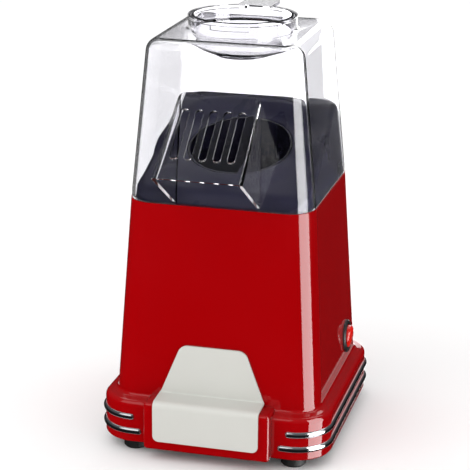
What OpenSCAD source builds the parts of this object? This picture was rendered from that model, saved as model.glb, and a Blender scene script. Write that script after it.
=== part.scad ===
// Small hot-air popcorn maker: a leaning red housing on a wide skirt, with a
// clear lift-off cover whose sloping chute throws the popcorn out at the front.
//
// The origin is on the ground under the middle of the overall depth, +Z is up
// and -Y is the front. Every sub-part is drawn around the housing's own centre
// line, and on_axis() then moves it back by body_y, because the chute reaches
// further forward than the skirt reaches back.

/* [Skirt] */
// Width of the skirt, side to side
skirt_w = 157; // [152:1:162]
// Depth of the skirt, front to back
skirt_d = 159.6; // [155:0.1:165]
// Corner radius of the skirt in plan
skirt_r = 24; // [22:1:26]
// Height of the skirt's upright face above the ground
skirt_top_z = 37.5; // [37:0.5:39]
// Rounding along the skirt's top edge
skirt_edge_r = 4; // [3:0.5:5]
// How high the feet hold the skirt off the ground
foot_h = 8; // [7:0.5:9]

/* [Housing] */
// Width of the housing where it meets the skirt
body_foot_w = 141; // [138:1:144]
// Depth of the housing where it meets the skirt
body_foot_d = 142; // [139:1:145]
// Width of the housing at its top edge
body_top_w = 125; // [122:1:127]
// Depth of the housing at its top edge
body_top_d = 126.6; // [124:0.1:129]
// Corner radius of the housing in plan
body_r = 18; // [16:1:20]
// Height of the parting line between housing and cover
joint_z = 171.6; // [168:0.2:175]
// Wall of the housing
wall = 2.5; // [2:0.1:3]

/* [Front boss and badge plate] */
// Width of the boss that carries the badge plate
boss_w = 86; // [80:1:90]
// Height of the boss's flat top
boss_top_z = 41; // [40:0.5:42]
// How far the boss reaches in front of the housing's centre line
boss_reach = 88.5; // [87:0.5:90]
// Thickness of the badge plate
plate_t = 1.8; // [1.4:0.1:2.2]
// Width of the badge plate at its top edge
plate_top_w = 46; // [40:1:50]
// Width of the badge plate over the boss
plate_w = 72; // [66:1:76]
// Height of the plate's top edge
plate_top_z = 77.3; // [70:0.1:85]
// Height of the plate's bottom edge
plate_bottom_z = 15; // [12:0.5:18]

/* [Chrome trims] */
// Radius of a trim strip's half-round section
trim_r = 2.2; // [1.8:0.1:2.4]
// Height of the upper strips
trim_upper_z = 26.1; // [25:0.1:28]
// Height of the lower strips
trim_lower_z = 15.8; // [14:0.1:18]
// Straight end of the lower strips past the corner
trim_lower_end = 5.5; // [1:0.5:10]

/* [Cover] */
// Height of the cover's flat top
cover_top_z = 278; // [274:1:280]
// Width of the cover just under its top edge
cover_top_w = 104; // [102:1:108]
// Depth of the cover just under its top edge
cover_top_d = 112; // [110:1:115]
// Rounding along the cover's top edge
cover_edge_r = 8; // [6:1:9]
// Wall of the cover
cover_wall = 2; // [1.8:0.1:2.4]
// Outer radius of the filling neck
neck_r = 36.3; // [35.5:0.1:37]
// Height of the neck's rim
neck_top_z = 285; // [283:0.5:287]
// Width of the notch in the front of the neck's rim
notch_w = 26; // [20:1:30]
// Depth of that notch
notch_h = 2.8; // [2:0.2:4]

/* [Chute] */
// How far the chute's lip reaches in front of the housing's centre line
chute_reach = 112; // [108:1:114]
// Height of the chute's lip
chute_lip_z = 203; // [200:1:206]
// Height where the chute's roof meets the cover
chute_top_z = 246.5; // [244:0.5:249]
// Width of the chute at its top
chute_top_w = 54.6; // [52:0.2:57]
// Width of the chute at its mouth
chute_lip_w = 58.8; // [57:0.2:60]
// Number of slots in the chute's roof
slot_count = 5; // [3:1:5]
// Width of one slot
slot_w = 5.2; // [4:0.1:6]
// Spacing of the slots
slot_pitch = 9.3; // [8.5:0.1:9.5]
// Length of one slot
slot_l = 39; // [30:1:42]

/* [Measuring cup] */
// Radius of the cup's rim flange
cup_rim_r = 36.3; // [35.5:0.1:37]
// Radius of the cup's flat bottom
cup_bottom_r = 18.5; // [16:0.5:22]
// Height of the cup's bottom above the ground
cup_bottom_z = 260; // [257:1:263]
// Wall of the cup
cup_wall = 1.5; // [1.2:0.1:1.8]
// Width of the thumb tab
tab_w = 23.5; // [20:0.5:27]
// How far the thumb tab reaches behind the centre line
tab_reach = 59; // [54:1:62]

/* [Popping chamber] */
// Inner radius of the popping chamber
chamber_r = 34; // [33:0.5:34.5]
// Height of the chamber's floor above the ground
chamber_floor_z = 118; // [116:1:124]
// Number of air louvres around the chamber
louvre_count = 24; // [16:1:28]
// Height of the middle of the chamber's slanting mouth
mouth_z = 199; // [197:0.5:200]
// Slant of the mouth, its front edge being the lower one
mouth_tilt = 17; // [14:1:18]

/* [Switch] */
// Radius of the switch's round bezel
bezel_r = 11.5; // [11:0.1:12]
// Radius of the mounting hole in the wall
switch_hole_r = 10; // [9.8:0.1:10.2]
// Distance of the switch behind the housing's centre line
switch_y = 30.5; // [25:0.5:35]
// Height of the switch
switch_z = 56.5; // [55:0.5:60]
// Tilt of the rocker to either side of its middle
rocker_tilt = 9; // [7:1:11]

/* [Hidden] */
$fn = 64;

arc_steps = 5;                     // straight steps in a lofted corner
fit = 0.3;                         // gap between pieces that come apart
touch = 0.05;                      // gap between pieces that are fastened
over = 1;                          // how far a cut runs past a face
gland_out = 2.5;                   // gland flange proud of the skirt
body_y = (chute_reach - skirt_d / 2 - gland_out) / 2;
core_y = -3;                       // axis of chamber, heater, fan and motor

// How far a wall leans in for each millimetre of height
lean_from_z = 40;
lean_x = (body_foot_w - body_top_w) / 2 / (joint_z - lean_from_z);
lean_y = (body_foot_d - body_top_d) / 2 / (joint_z - lean_from_z);
cover_lean_x = (body_top_w - cover_top_w) / 2 / (cover_top_z - joint_z);
cover_lean_y = (body_top_d - cover_top_d) / 2 / (cover_top_z - joint_z);

// Base plate, feet and their screws
plate_z = foot_h + 1;              // underside of the base plate
plate_h = 2.5;
foot_x = 55;
foot_y = 66;
foot_r = 8.3;
base_screw_r = 1.9;
base_screw_l = 24;

// Deck: its edge as seen from the side, as [y, z, rounding]
deck_skin = 2.5;
deck_foot_z = joint_z - 8.6;
deck_line = [[-62, joint_z, 0.1], [-56, 180, 3], [-18.5, 195, 6], [-9, 205, 3],
    [14, 208.5, 4], [33, 221, 5], [62, 221, 0.1]];
throat_r = chamber_r + 1.5;
deck_post = [49, 50];
deck_screw_r = 1.5;

// Heights and radii of the hot-air stack
flange_z = 180;
flange_r = 43.5;
sleeve_t = 1.2;
ear_r = 47;
drum_r = 40.5;
drum_t = 0.8;
fan_floor_z = 58;
fan_rim_z = 84;
fan_cup_r = 38;
motor_r = 17.5;
motor_z = 22;
mount_x = 9;                       // the motor's two screws stand this far off its axis
magnet_r = 13.4;
magnet_h = 22;
shaft_r = 1.6;
shaft_l = 54;
core_z = 30;                       // the armature's iron core
armature_r = 12.6;
armature_h = 20;
pole_count = 3;
coil_rings = [92, 98, 104, 110];
coil_ring_r = 32;

// ---------------------------------------------------------------- helpers

function unit(v) = v / norm(v);

// A corner [x, y, r] of an outline, rounded to r between its two neighbours
function soft_corner(p, q, s, n) =
    let (c = [q[0], q[1]],
         u = unit([p[0], p[1]] - c),
         v = unit([s[0], s[1]] - c),
         half = acos(u * v) / 2,
         m = c + unit(u + v) * q[2] / sin(half),
         a = c + u * q[2] / tan(half) - m,
         b = c + v * q[2] / tan(half) - m,
         from = atan2(a[1], a[0]),
         turn = (atan2(b[1], b[0]) - from + 540) % 360 - 180)
    [for (k = [0:n]) m + q[2] * [cos(from + turn * k / n), sin(from + turn * k / n)]];

// A closed outline of [x, y, r] corners, each rounded to its own r
function soft(p, n = 6) =
    [for (i = [0:len(p) - 1])
        each soft_corner(p[(i + len(p) - 1) % len(p)], p[i], p[(i + 1) % len(p)], n)];

// One level of a lofted shell, a rounded rectangle [half_w, half_d, r, z]
function level(s) =
    [for (c = [0:3], k = [0:arc_steps])
        let (a = 90 * (c + k / arc_steps),
             sx = c == 0 || c == 3 ? 1 : -1,
             sy = c < 2 ? 1 : -1)
        [sx * (s[0] - s[2]) + s[2] * cos(a), sy * (s[1] - s[2]) + s[2] * sin(a), s[3]]];

// Triangles between the levels of a loft, each level joined to the next
function skin(m, n, last) =
    [for (i = [0:last], j = [0:n - 1])
        let (a = i * n + j,
             b = i * n + (j + 1) % n,
             c = (i + 1) % m * n + (j + 1) % n,
             d = (i + 1) % m * n + j)
        each [[a, d, c], [a, c, b]]];

// A hollow shell: the levels go up its outside and come down its inside
module shell(levels) {
    n = 4 * (arc_steps + 1);
    m = len(levels);
    polyhedron([for (s = levels) each level(s)], skin(m, n, m - 1));
}

// A solid block through its levels, closed at the bottom and at the top
module block(levels) {
    n = 4 * (arc_steps + 1);
    m = len(levels);
    polyhedron([for (s = levels) each level(s)],
        concat(skin(m, n, m - 2),
            [[for (j = [0:n - 1]) j], [for (j = [n - 1:-1:0]) (m - 1) * n + j]]));
}

// Everything is drawn on the housing's centre line and stands body_y behind
module on_axis() translate([0, body_y, 0]) children();

// The stack of chamber, heater, fan and motor has its own upright axis
module on_core() on_axis() translate([0, core_y, 0]) children();

// An outline seen from the side, drawn as [y, z], as wide as w
module side_prism(w) rotate([90, 0, 90]) linear_extrude(w, center = true) children();

// An outline seen from the front, drawn as [x, z], from y to y + d
module front_prism(y, d) translate([0, y + d, 0]) rotate([90, 0, 0])
    linear_extrude(d) children();

module ring(r_out, r_in, h) difference() {
    cylinder(r = r_out, h = h);
    translate([0, 0, -over]) cylinder(r = r_in, h = h + 2 * over);
}

module four(x, y) for (sx = [-1, 1], sy = [-1, 1]) translate([sx * x, sy * y, 0]) children();

module at_ears() for (a = [90, 210, 330])
    rotate([0, 0, a]) translate([ear_r, 0, 0]) children();

// A screw pointing up from z: head below, shank above
module screw(r, head_r, head_h, l) {
    cylinder(r = r, h = l);
    translate([0, 0, -head_h]) difference() {
        cylinder(r = head_r, h = head_h);
        translate([0, 0, -over]) cylinder(r = head_r / 2, h = over + head_h / 2, $fn = 6);
    }
}

// ---------------------------------------------------------------- housing

function body_level(z, inset) =
    [body_foot_w / 2 - lean_x * (z - lean_from_z) - inset,
        body_foot_d / 2 - lean_y * (z - lean_from_z) - inset, body_r - inset, z];

function skirt_level(z, inset) =
    [skirt_w / 2 - inset, skirt_d / 2 - inset, skirt_r - inset, z];

// Rounded top edge of the skirt, moved in and down by t for its inside
function skirt_edge(t) =
    [for (a = [0, 30, 60, 90])
        skirt_level(skirt_top_z - skirt_edge_r + (skirt_edge_r - t) * sin(a),
            t + (skirt_edge_r - t) * (1 - cos(a)))];

housing_levels = concat(
    [skirt_level(foot_h, 1.2), skirt_level(foot_h + 1.2, 0)],
    skirt_edge(0),
    [body_level(skirt_top_z + 0.7, -2), body_level(skirt_top_z + 2, -0.5),
        body_level(skirt_top_z + 4, 0), body_level(joint_z, 0),
        body_level(joint_z, wall), body_level(skirt_top_z + 2, wall),
        body_level(skirt_top_z - wall, wall)],
    [for (s = [3:-1:0]) skirt_edge(wall)[s]],
    [skirt_level(foot_h, wall)]);

boss_root = 70;                    // the boss grows out of the wall from here

module boss_block(inset, bottom) intersection() {
    side_prism(boss_w - 2 * inset)
        polygon(soft([[-boss_reach + inset, bottom, 0.5], [-boss_reach + inset, boss_top_z - inset, 3],
            [-boss_root - over, boss_top_z + 1 - inset, 1], [-boss_root - over, bottom, 0.5]]));
    translate([0, 0, bottom - over]) linear_extrude(boss_top_z + 2 * over)
        polygon(soft([[-boss_w / 2 + inset, -boss_reach + inset, 4 - inset],
            [boss_w / 2 - inset, -boss_reach + inset, 4 - inset],
            [boss_w / 2 - inset, -boss_root, 1], [-boss_w / 2 + inset, -boss_root, 1]]));
}

// The switch's axis stands square to the leaning right-hand wall
module at_switch() translate([body_level(switch_z, 0)[0], switch_y, switch_z])
    rotate([0, 90 - atan(lean_x), 0]) children();

tab_r = 12;                        // corner tabs that carry the deck
tab_h = 5;
foot_post_r = 5;                   // posts that take the base screws
foot_post_h = 27;
hole_depth = 8;                    // the wall's round holes are cut from this deep

module deck_tab() intersection() {
    block([body_level(deck_foot_z - tab_h, 1), body_level(deck_foot_z, 1)]);
    four(deck_post[0], deck_post[1]) translate([0, 0, deck_foot_z - tab_h])
        cylinder(r = tab_r, h = tab_h);
}

module housing() on_axis() color("firebrick") difference() {
    union() {
        shell(housing_levels);
        difference() {
            boss_block(0, foot_h);
            translate([-boss_w, -skirt_d / 2 + wall, 0]) cube([2 * boss_w, 20, skirt_top_z - wall]);
            block([body_level(skirt_top_z - 3, wall), body_level(60, wall)]);
        }
        four(foot_x, foot_y) translate([0, 0, plate_z + plate_h + touch])
            cylinder(r = foot_post_r, h = foot_post_h);
        deck_tab();
    }
    intersection() {
        boss_block(wall, foot_h - 2 * over);
        translate([-boss_w, -boss_reach, 0]) cube([2 * boss_w, boss_reach - skirt_d / 2, skirt_top_z]);
    }
    four(foot_x, foot_y) translate([0, 0, plate_z])
        cylinder(r = base_screw_r + touch, h = base_screw_l - 3);
    four(deck_post[0], deck_post[1]) translate([0, 0, deck_foot_z - tab_h - over])
        cylinder(r = deck_screw_r + fit, h = tab_h + 2 * over);
    at_switch() translate([0, 0, -hole_depth]) cylinder(r = switch_hole_r, h = 1.5 * hole_depth);
    at_gland() translate([0, 0, -hole_depth]) cylinder(r = gland_r + touch, h = 1.5 * hole_depth);
}

// ---------------------------------------------------------------- badge plate

// The plate's side view: down the leaning wall, over the boss and down its front
plate_gap = 0.1;
plate_r = 4.5;                     // rounding of its two upper corners
plate_back = [
    [-body_level(plate_top_z, 0)[1] - plate_gap, plate_top_z, 0.1],
    [-body_level(boss_top_z, 0)[1] - plate_gap - 0.4, boss_top_z + 1.2, 2],
    [-boss_reach - plate_gap, boss_top_z + plate_gap, 3],
    [-boss_reach - plate_gap, plate_bottom_z, 0.1]];
plate_front = [
    [-boss_reach - plate_gap - plate_t, plate_bottom_z, 0.1],
    [-boss_reach - plate_gap - plate_t, boss_top_z + plate_gap + plate_t, 3 + plate_t],
    [-body_level(boss_top_z, 0)[1] - plate_gap - 0.4 - plate_t, boss_top_z + 1.2 + plate_t, 0.5],
    [-body_level(plate_top_z, 0)[1] - plate_gap - plate_t, plate_top_z, 0.1]];

module badge_plate() on_axis() color("ivory") intersection() {
    side_prism(plate_w + 2 * over) polygon(soft(concat(plate_back, plate_front)));
    front_prism(-boss_reach - 2 * plate_t, 2 * plate_t + 30)
        polygon(soft([[-plate_w / 2, plate_bottom_z, 4], [plate_w / 2, plate_bottom_z, 4],
            [plate_w / 2, boss_top_z, 4], [plate_top_w / 2, plate_top_z, plate_r],
            [-plate_top_w / 2, plate_top_z, plate_r], [-plate_w / 2, boss_top_z, 4]]));
}

// ---------------------------------------------------------------- trims

module skirt_outline(d) {
    w2 = skirt_w / 2 - skirt_r;
    d2 = skirt_d / 2 - skirt_r;
    square([skirt_w + 2 * d, 2 * d2], center = true);
    square([2 * w2, skirt_d + 2 * d], center = true);
    four(w2, d2) circle(r = skirt_r + d);
}

trim_sink = 0.6;                   // how far the section's centre lies inside the skirt

module trim_section() intersection() {
    translate([-trim_sink, 0]) circle(r = trim_r);
    translate([touch, -trim_r]) square([trim_r, 2 * trim_r]);
}

module trim_straight(l) rotate([90, 0, 0]) linear_extrude(l, center = true) trim_section();

// A half-round strip around the right-hand side, wrapping both corners
module trim(z, end) {
    side = skirt_d - 2 * skirt_r;
    translate([skirt_w / 2, 0, z]) trim_straight(side);
    for (s = [0, 1]) mirror([0, s, 0]) translate([skirt_w / 2 - skirt_r, side / 2, z]) {
        rotate_extrude(angle = 90) translate([skirt_r, 0]) trim_section();
        translate([-end / 2, skirt_r, 0]) rotate([0, 0, 90]) trim_straight(end);
        translate([-end, skirt_r, 0]) intersection() {
            translate([0, -trim_sink, 0]) sphere(r = trim_r);
            translate([-trim_r, touch, -trim_r]) cube([trim_r, trim_r, 2 * trim_r]);
        }
    }
}

module trim_upper_right() on_axis() color("silver") trim(trim_upper_z, 0.5);
module trim_lower_right() on_axis() color("silver") trim(trim_lower_z, trim_lower_end);
module trim_upper_left() on_axis() color("silver") mirror([1, 0, 0]) trim(trim_upper_z, 0.5);
module trim_lower_left() on_axis() color("silver") mirror([1, 0, 0])
    trim(trim_lower_z, trim_lower_end);

// ---------------------------------------------------------------- base

vent_r = 30;                       // round field of air slots under the motor
vent_pitch = 6.5;
vent_w = 3;
foot_bore_r = 4.4;
foot_seat_z = 4.2;                 // the base screws' heads sit this high in the feet

// Half length of the air slot number k from the middle one
function vent_half(k) = sqrt(pow(vent_r, 2) - pow(vent_pitch * k, 2));

module base_plate() on_axis() color("dimgray") difference() {
    union() {
        translate([0, 0, plate_z]) linear_extrude(plate_h) skirt_outline(-wall - 0.4);
        translate([0, core_y, plate_z + plate_h - touch]) ring(vent_r + 4, vent_r + 1.5, 2);
    }
    translate([0, core_y, 0]) for (k = [-4:4])
        translate([-vent_half(k), vent_pitch * k - vent_w / 2, plate_z - over])
            cube([2 * vent_half(k), vent_w, plate_h + 2 * over]);
    four(foot_x, foot_y) translate([0, 0, plate_z - over])
        cylinder(r = base_screw_r + 0.2, h = plate_h + 2 * over);
}

module feet() on_axis() color("black") four(foot_x, foot_y) rotate_extrude()
    polygon([[foot_bore_r, 0], [foot_r - 1, 0], [foot_r, 1.2], [foot_r, plate_z - touch],
        [base_screw_r + 0.2, plate_z - touch], [base_screw_r + 0.2, foot_seat_z],
        [foot_bore_r, foot_seat_z]]);

module base_screws() on_axis() color("silver") four(foot_x, foot_y)
    translate([0, 0, foot_seat_z - touch]) screw(base_screw_r, 2 * base_screw_r, 2.4, base_screw_l);

// ---------------------------------------------------------------- cord gland

gland_r = 7;
gland_x = -20;
gland_z = 22;
gland_bore_r = 3.4;
gland_in = 10;                     // gland reaches this far inside the skirt

module at_gland() translate([gland_x, skirt_d / 2, gland_z]) rotate([-90, 0, 0]) children();

module cord_gland() on_axis() color("black") at_gland() rotate_extrude()
    polygon([[gland_bore_r, -gland_in], [gland_r, -gland_in], [gland_r, -6.5], [9, -6.5],
        [9, -wall - touch], [gland_r, -wall - touch], [gland_r, touch], [9.5, touch],
        [9.5, gland_out - 0.8], [8.7, gland_out], [gland_bore_r, gland_out]]);

// ---------------------------------------------------------------- switch

rocker_r = 7.9;
rocker_h = 0.5;                    // pivot of the rocker above the wall
rocker_top = 4.2;                  // middle of its domed face above the pivot
rocker_skirt = 4;                  // how far its skirt reaches below the pivot
well_r = rocker_r + 0.5;
well_depth = 9;
trunnion_r = 0.8;
trunnion_reach = 9.7;

// Two small pins on one line, on which the rocker tips
module trunnions(gap) rotate([90, 0, 0])
    cylinder(r = trunnion_r + gap, h = 2 * (trunnion_reach + gap), center = true);

module switch_body() on_axis() color("black") at_switch() {
    difference() {
        union() {
            translate([0, 0, -14]) cylinder(r = switch_hole_r - 0.1, h = 14 + touch);
            rotate_extrude() polygon([[0, touch], [bezel_r, touch], [bezel_r, 1.2],
                [bezel_r - 0.8, 2], [0, 2]]);
        }
        translate([0, 0, -well_depth]) cylinder(r = well_r, h = well_depth + 3);
        translate([0, 0, rocker_h]) trunnions(touch);
    }
    for (k = [-1:1]) translate([k * 5 - 0.4, -2.4, -21]) cube([0.8, 4.8, 7.1]);
}

// The rocker is a round domed button, whose raised half stands out below
module switch_rocker() on_axis() color("red") at_switch() translate([0, 0, rocker_h])
    rotate([0, rocker_tilt, 0]) {
        trunnions(0);
        rotate_extrude() polygon([[0, -rocker_skirt], [rocker_r - 0.5, -rocker_skirt],
            [rocker_r, 0], [rocker_r, rocker_top - 2], [rocker_r - 0.5, rocker_top - 1.1],
            [rocker_r - 1.6, rocker_top - 0.6], [rocker_r / 2, rocker_top - 0.1], [0, rocker_top]]);
    }

// ---------------------------------------------------------------- cover

function cover_level(z, inset) =
    [body_top_w / 2 - cover_lean_x * (z - joint_z) - inset,
        body_top_d / 2 - cover_lean_y * (z - joint_z) - inset,
        body_r - 0.04 * (z - joint_z) - inset, z];

// Rounded top edge of the cover, t inside its outer face
function cover_edge(t) =
    [for (a = [0:18:90])
        let (s = cover_level(cover_top_z - cover_edge_r + (cover_edge_r - t) * sin(a), 0),
             in = t + (cover_edge_r - t) * (1 - cos(a)))
        [s[0] - in, s[1] - in, s[2] - in, s[3]]];

cover_foot_z = joint_z + fit;
cover_levels = concat(
    [cover_level(cover_foot_z, 0.4)], cover_edge(0),
    [[24, 24, 6, cover_top_z], [24, 24, 6, cover_top_z - cover_wall]],
    [for (k = [5:-1:0]) cover_edge(cover_wall)[k]],
    [cover_level(cover_foot_z, cover_wall + 0.4)]);

// The roof of the chute falls from the cover's front wall to the lip
chute_root_y = -cover_level(chute_top_z, 0)[1];
chute_fall = atan((chute_top_z - chute_lip_z) / (chute_reach + chute_root_y));
chute_roof_l = norm([chute_reach + chute_root_y, chute_top_z - chute_lip_z]);
chute_round = 6.5;                 // rounding of the roof's upper corners
chute_foot_z = joint_z + 2.5;

module at_roof() translate([0, chute_root_y, chute_top_z]) rotate([chute_fall, 0, 0])
    rotate([0, 0, 180]) children();

// Inside and outside of the chute are the same wedge, t apart
module wedge(t, lip, back, low) hull() for (sx = [-1, 1]) {
    x_top = chute_top_w / 2 - chute_round;
    x_lip = chute_lip_w / 2 - t;
    for (y = [0, back]) translate([0, y, y * tan(chute_fall)]) at_roof()
        translate([sx * x_top, 0, -chute_round]) sphere(r = chute_round - t, $fn = 24);
    at_roof() translate([sx * (x_lip - 2), chute_roof_l + lip - 2, -2 - t]) sphere(r = 2, $fn = 16);
    translate([sx * (x_lip - 1), -body_top_d / 2 + 1 - lip, low]) cylinder(r = 1, h = 1, $fn = 16);
    translate([sx * (x_lip - 1), -body_top_d / 2 + 1 + back, low]) cylinder(r = 1, h = 1, $fn = 16);
}

module chute_slot() {
    translate([-slot_w / 2, slot_w / 2, -8]) cube([slot_w, slot_l - slot_w, 16]);
    for (y = [slot_w / 2, slot_l - slot_w / 2]) translate([0, y, -8])
        cylinder(r = slot_w / 2, h = 16);
}

module top_cover() on_axis() color("lightblue", 0.4) difference() {
    union() {
        difference() {
            shell(cover_levels);
            translate([0, 0, cover_top_z - 10]) cylinder(r = neck_r - over, h = 20);
        }
        translate([0, 0, cover_top_z - cover_wall])
            ring(neck_r, neck_r - cover_wall, neck_top_z - cover_top_z + cover_wall);
        intersection() {
            wedge(0, 0, 3, chute_foot_z);
            side_prism(2 * chute_lip_w) polygon([
                [-cover_level(cover_foot_z, 1)[1], cover_foot_z],
                [-cover_level(cover_top_z, 1)[1], cover_top_z],
                [-2 * chute_reach, cover_top_z], [-2 * chute_reach, cover_foot_z]]);
        }
    }
    translate([-notch_w / 2, -neck_r - over, neck_top_z - notch_h])
        cube([notch_w, neck_r, notch_h + over]);
    wedge(cover_wall, 30, 8, cover_foot_z - 2 * over);
    at_roof() for (k = [0:slot_count - 1])
        translate([(k - (slot_count - 1) / 2) * slot_pitch, 13.5, 0]) chute_slot();
}

// ---------------------------------------------------------------- measuring cup

cup_rim_z = neck_top_z + fit;
cup_r = neck_r - cover_wall - 0.5;
cup_rim_h = 2.2;

module measuring_cup() on_axis() color("lightblue", 0.4) {
    rotate_extrude() polygon([[0, cup_bottom_z], [cup_bottom_r, cup_bottom_z],
        [cup_r, cup_bottom_z + 13], [cup_r, cup_rim_z], [cup_rim_r, cup_rim_z],
        [cup_rim_r, cup_rim_z + cup_rim_h], [cup_r - cup_wall, cup_rim_z + cup_rim_h],
        [cup_r - cup_wall, cup_bottom_z + 13], [cup_bottom_r - 0.8, cup_bottom_z + cup_wall],
        [0, cup_bottom_z + cup_wall]]);
    difference() {
        translate([0, 0, cup_rim_z]) linear_extrude(cup_rim_h)
            polygon(soft([[-tab_w / 2, cup_r - 1, 0.5], [tab_w / 2, cup_r - 1, 0.5],
                [tab_w / 2, tab_reach, 3], [-tab_w / 2, tab_reach, 3]]));
        translate([0, 0, cup_rim_z - over]) cylinder(r = cup_r - cup_wall / 2, h = 10);
    }
}

// ---------------------------------------------------------------- deck

// The deck fills the cover's foot: its plan follows the cover's inner face
function deck_level(z, inset) = cover_level(z, cover_wall + 0.8 + inset);

module deck_block(inset) block([deck_level(joint_z - 20, inset), deck_level(225, inset)]);

module under_deck_line(drop, bottom) side_prism(body_top_w)
    polygon(concat([for (p = soft(concat(deck_line, [[62, bottom, 0.1], [-62, bottom, 0.1]])))
        [p[0], p[1] > bottom + over ? p[1] - drop : p[1]]]));

module deck() on_axis() color("darkslategray") difference() {
    union() {
        difference() {
            intersection() {
                deck_block(0);
                under_deck_line(0, deck_foot_z);
            }
            intersection() {
                deck_block(deck_skin);
                under_deck_line(deck_skin + 0.5, deck_foot_z - 2 * over);
            }
        }
        intersection() {
            deck_block(deck_skin / 2);
            under_deck_line(deck_skin / 2, deck_foot_z - 2 * over);
            union() {
                translate([0, core_y, flange_z + 2]) ring(throat_r + deck_skin, throat_r - 0.5, 60);
                four(deck_post[0], deck_post[1]) translate([0, 0, deck_foot_z])
                    cylinder(r = 4, h = 70);
                translate([0, core_y, flange_z + 2]) at_ears() {
                    cylinder(r = 4, h = 12);
                    translate([-10, -1.2, 0]) cube([8, 2.4, 12]);
                }
            }
        }
    }
    translate([0, core_y, flange_z]) cylinder(r = throat_r, h = 60);
    four(deck_post[0], deck_post[1]) translate([0, 0, deck_foot_z - over])
        cylinder(r = deck_screw_r + touch, h = 13);
    translate([0, core_y, flange_z + 1]) at_ears() cylinder(r = deck_screw_r + touch, h = 7);
}

module deck_screws() on_axis() color("silver") four(deck_post[0], deck_post[1])
    translate([0, 0, deck_foot_z - 5 - touch]) screw(deck_screw_r, 3.2, 2.5, 16);

// ---------------------------------------------------------------- chamber

module ears(z, h, r_in) translate([0, 0, z]) difference() {
    at_ears() {
        cylinder(r = 5, h = h);
        translate([r_in - ear_r, -5, 0]) cube([ear_r - r_in, 10, h]);
    }
    translate([0, 0, -over]) at_ears() cylinder(r = 1.8, h = h + 2 * over);
}

module chamber_gasket() on_core() color("tan")
    translate([0, 0, flange_z + 1]) ring(throat_r + deck_skin, throat_r, 1 - touch);

module popping_chamber() on_core() color("silver") {
    difference() {
        rotate_extrude() polygon(concat(
            [[0, chamber_floor_z + 5], [6, chamber_floor_z + 4], [16, chamber_floor_z]],
            [for (a = [-90:15:0]) [chamber_r - 7 + 8 * cos(a), chamber_floor_z + 8 + 8 * sin(a)]],
            [[chamber_r + 1, flange_z], [flange_r, flange_z], [flange_r, flange_z + 1],
                [chamber_r, flange_z + 1]],
            [for (a = [0:-15:-90]) [chamber_r - 7 + 7 * cos(a), chamber_floor_z + 8 + 7 * sin(a)]],
            [[16.3, chamber_floor_z + 1], [6.3, chamber_floor_z + 5], [0, chamber_floor_z + 6]]));
        for (k = [0:louvre_count - 1]) rotate([0, 0, 360 * k / louvre_count])
            translate([chamber_r + 0.5, 0, chamber_floor_z + 17]) rotate([0, 0, 35])
                cube([8, 1.6, 14], center = true);
    }
    ears(flange_z, 1, 42.5);
}

// A collar stands on the chamber's flange and lines the deck's throat up to its mouth
module chamber_sleeve() on_core() color("silver") difference() {
    translate([0, 0, flange_z + 1 + touch])
        ring(chamber_r + sleeve_t, chamber_r, 2 * (mouth_z - flange_z));
    translate([0, 0, mouth_z]) rotate([mouth_tilt, 0, 0])
        translate([-2 * chamber_r, -2 * chamber_r, 0]) cube(4 * chamber_r);
}

// ---------------------------------------------------------------- heater

module heater_drum() on_core() color("lightgray") translate([0, 0, fan_rim_z])
    ring(drum_r + drum_t, drum_r, flange_z - fan_rim_z - touch);

mica_w = 77;                       // two crossed mica sheets hold the coil's rings
mica_t = 0.8;
mica_z = 87;
mica_h = 28;
coil_wire_r = 1.6;

module mica_frame() on_core() color("khaki") difference() {
    for (a = [0, 90]) rotate([0, 0, a + 45]) translate([-mica_w / 2, -mica_t / 2, mica_z])
        cube([mica_w, mica_t, mica_h]);
    for (z = coil_rings) translate([0, 0, z]) rotate_extrude()
        translate([coil_ring_r, 0]) circle(r = coil_wire_r + 0.4);
}

module heater_coil() on_core() color("gray") {
    for (z = coil_rings) translate([0, 0, z]) rotate_extrude()
        translate([coil_ring_r, 0]) circle(r = coil_wire_r);
    translate([0, -coil_ring_r, coil_rings[0]]) cylinder(r = 1, h = coil_rings[3] - coil_rings[0]);
}

module thermostat() on_core() color("silver") translate([0, 0, 130]) rotate([0, 90, 0]) {
    translate([0, 0, drum_r + drum_t + 0.1]) cylinder(r = 8, h = 5);
    translate([0, 0, drum_r + drum_t + 5.1 - touch]) cylinder(r = 6, h = 3);
    for (s = [-1, 1]) translate([-0.4, s * 4 - 2, drum_r + drum_t + 8]) cube([0.8, 4, 4]);
}

module thermal_fuse() on_core() color("silver") translate([-drum_r - drum_t - 2.6, 0, 124]) {
    cylinder(r = 2, h = 12);
    for (z = [-6, 11.9]) translate([0, 0, z]) cylinder(r = 0.6, h = 6.1);
}

// Long screws hold fan housing, heater drum and chamber together under the deck
module tie_rods() on_core() color("silver") translate([0, 0, fan_rim_z - 2 - touch])
    at_ears() screw(deck_screw_r, 3, 2.2, flange_z + 6 - fan_rim_z + 2);

// ---------------------------------------------------------------- fan and motor

module fan_housing() on_core() color("gainsboro") {
    difference() {
        rotate_extrude() polygon([[5, fan_floor_z], [fan_cup_r + 2, fan_floor_z],
            [fan_cup_r + 2, fan_rim_z - 2], [44, fan_rim_z - 2], [44, fan_rim_z - touch],
            [fan_cup_r, fan_rim_z - touch], [fan_cup_r, fan_floor_z + 2], [5, fan_floor_z + 2]]);
        for (k = [0:7]) rotate([0, 0, 45 * k + 22.5]) translate([27, 0, fan_floor_z - over])
            cylinder(r = 6, h = 4);
        for (s = [-1, 1]) translate([s * mount_x, 0, fan_floor_z - over])
            cylinder(r = 1.4, h = 4);
    }
    ears(fan_rim_z - 2, 2 - touch, 43);
}

hub_z = 64;                        // underside of the fan's hub
hub_r = 6;
hub_h = 13;
blade_count = 8;
blade_root = 4;                    // blades start inside the hub
blade = [31, 13, 1.4];             // length, width and thickness of a blade
blade_pitch = 35;

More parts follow.
